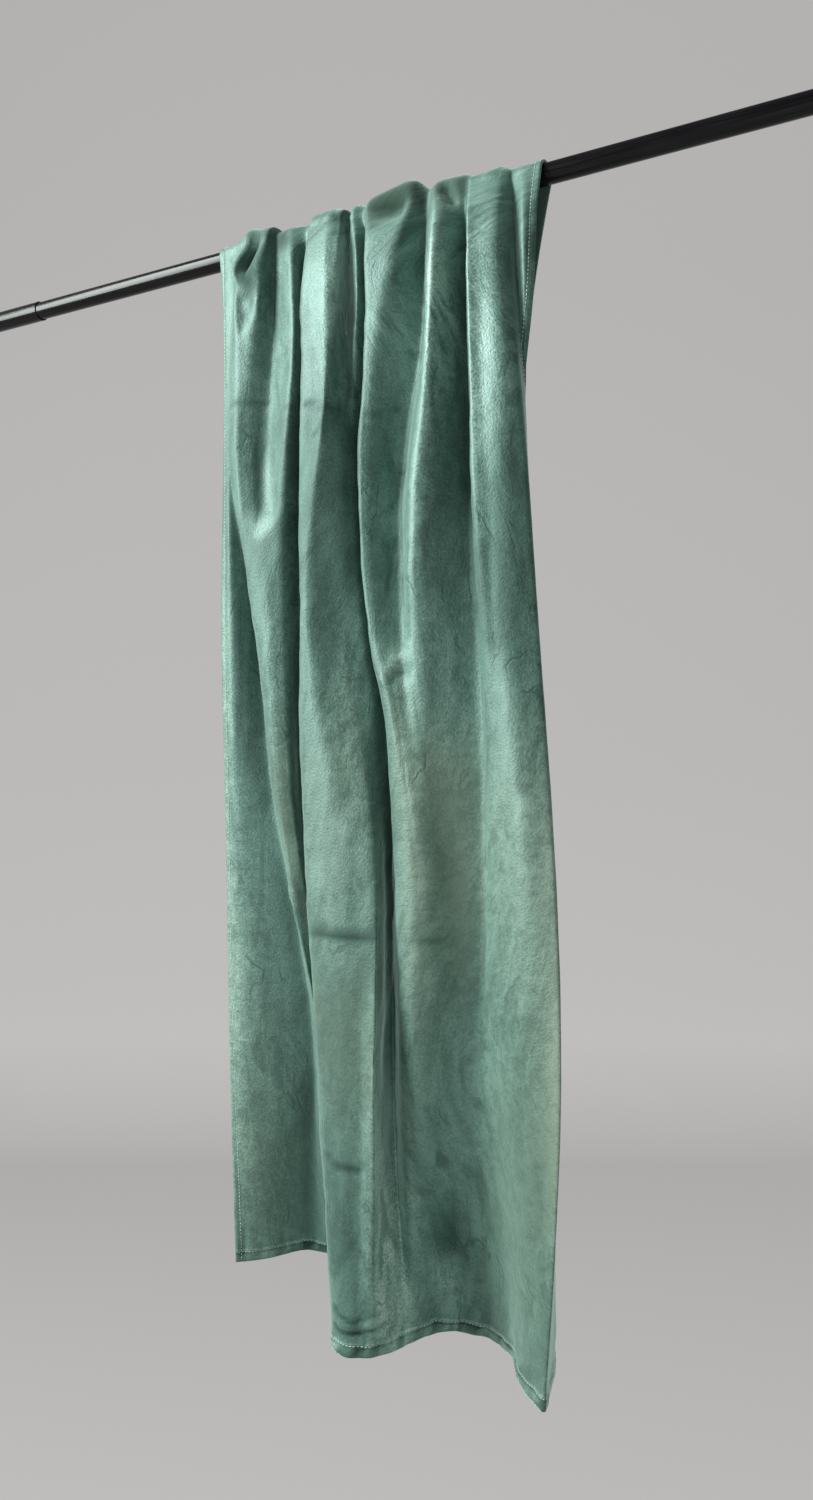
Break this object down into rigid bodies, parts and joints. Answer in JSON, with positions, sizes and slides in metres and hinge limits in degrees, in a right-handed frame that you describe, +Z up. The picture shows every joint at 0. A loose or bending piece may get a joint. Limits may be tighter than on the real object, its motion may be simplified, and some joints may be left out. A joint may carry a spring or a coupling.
{
  "type": "velvet curtain on a rod",
  "caption": "Velvet curtain panel thrown over a round telescopic rod, with a long front in uneven folds and a shorter back.",
  "frame": {"origin": "on the rod's axis, at the middle of the curtain's gathers", "axes": "+X along the rod to the viewer's right, +Y from the curtain's front towards its back, +Z up"},
  "size_m": [1.46, 0.2324, 1.4111],
  "materials": {
    "velvet": "velvet pile with a soft sheen",
    "black_painted_steel": "semi-gloss",
    "black_painted_steel_sleeve": "semi-gloss"
  },
  "bodies": {
    "root": {"curtain": "velvet", "rod_tube": "black_painted_steel", "rod_sleeve": "black_painted_steel_sleeve"}
  },
  "joints": []
}
